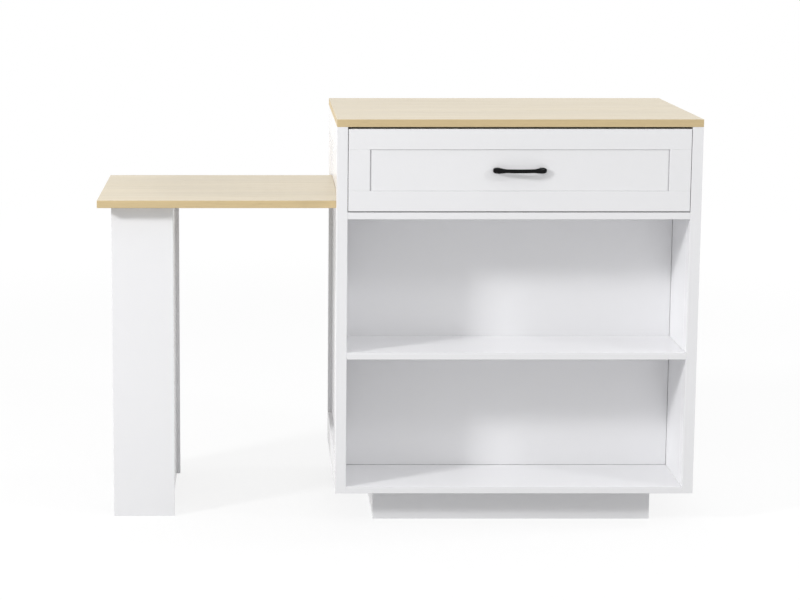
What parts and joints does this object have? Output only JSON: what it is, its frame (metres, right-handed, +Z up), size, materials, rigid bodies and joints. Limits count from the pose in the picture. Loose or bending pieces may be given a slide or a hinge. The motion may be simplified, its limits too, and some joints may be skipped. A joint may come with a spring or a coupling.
{
  "type": "drop leaf kitchen island",
  "caption": "Kitchen island cabinet with open shelf bays, a drawer with a bow pull, and a lower side table on a box-shaped leg that slides in and out of its side.",
  "frame": {"origin": "on the floor at the centre of the plinth, under the cabinet", "axes": "+Z up, -Y towards the front with the drawer and front bays, -X towards the side table"},
  "size_m": [1.329, 0.521, 0.914],
  "materials": {
    "white_board": "white satin laminated board",
    "oak_board": "pale oak-coloured satin laminate",
    "black_metal": "black satin lacquer",
    "zinc_steel": "bright zinc",
    "plain_wood": "unpainted softwood",
    "glide_plastic": "slippery plastic strip"
  },
  "bodies": {
    "cabinet": {"back_apron": "white_board", "cabinet_floor": "white_board", "carcass_dowels": "plain_wood", "divider": "white_board", "drawer_deck": "white_board", "hold_down_front": "plain_wood", "hold_down_rear": "plain_wood", "leaf_glide_strips": "glide_plastic", "leaf_guide_front": "plain_wood", "leaf_stop_bar": "plain_wood", "plinth_cross_rail": "white_board", "plinth_front": "white_board", "plinth_glue_blocks": "plain_wood", "plinth_rear": "white_board", "plinth_side_left": "white_board", "plinth_side_right": "white_board", "post_front_left": "white_board", "post_front_right": "white_board", "post_rear_left": "white_board", "post_rear_right": "white_board", "runner_outer_left": "zinc_steel", "runner_outer_right": "zinc_steel", "runner_screws_cabinet": "zinc_steel", "shelf_front": "white_board", "shelf_rear": "white_board", "side_panel_left_lower": "white_board", "side_panel_left_upper": "white_board", "side_panel_right": "white_board", "side_rail_bottom_left": "white_board", "side_rail_bottom_right": "white_board", "side_rail_top_left": "white_board", "side_rail_top_right": "white_board", "worktop": "oak_board", "worktop_brackets": "zinc_steel"},
    "drawer": {"drawer_bottom": "white_board", "drawer_box_back": "white_board", "drawer_box_front": "white_board", "drawer_frame_bottom": "white_board", "drawer_frame_left": "white_board", "drawer_frame_right": "white_board", "drawer_frame_top": "white_board", "drawer_front_panel": "white_board", "drawer_pull": "black_metal", "drawer_side_left": "white_board", "drawer_side_right": "white_board", "pull_screws": "zinc_steel", "runner_inner_left": "zinc_steel", "runner_inner_right": "zinc_steel", "runner_screws_drawer": "zinc_steel"},
    "runner_middles": {"runner_middle_left": "zinc_steel", "runner_middle_right": "zinc_steel"},
    "side_table": {"table_leaf": "oak_board", "leaf_stop_block": "plain_wood", "leg_wing_front": "white_board", "leg_wing_rear": "white_board", "leg_web": "white_board", "leg_brackets": "zinc_steel", "leg_bracket_screws": "zinc_steel"}
  },
  "joints": [
    {"name": "drawer_slide", "type": "slide", "parent": "cabinet", "child": "drawer", "axis": [0, -1, 0], "range_m": [0, 0.33]},
    {"name": "runner_middle_slide", "type": "slide", "parent": "cabinet", "child": "runner_middles", "axis": [0, -1, 0], "range_m": [0, 0.165]},
    {"name": "side_table_slide", "type": "slide", "parent": "cabinet", "child": "side_table", "axis": [1, 0, 0], "range_m": [0, 0.361]}
  ],
  "couplings": [
    {"joint": "runner_middle_slide", "follows": "drawer_slide", "ratio": 0.5}
  ]
}
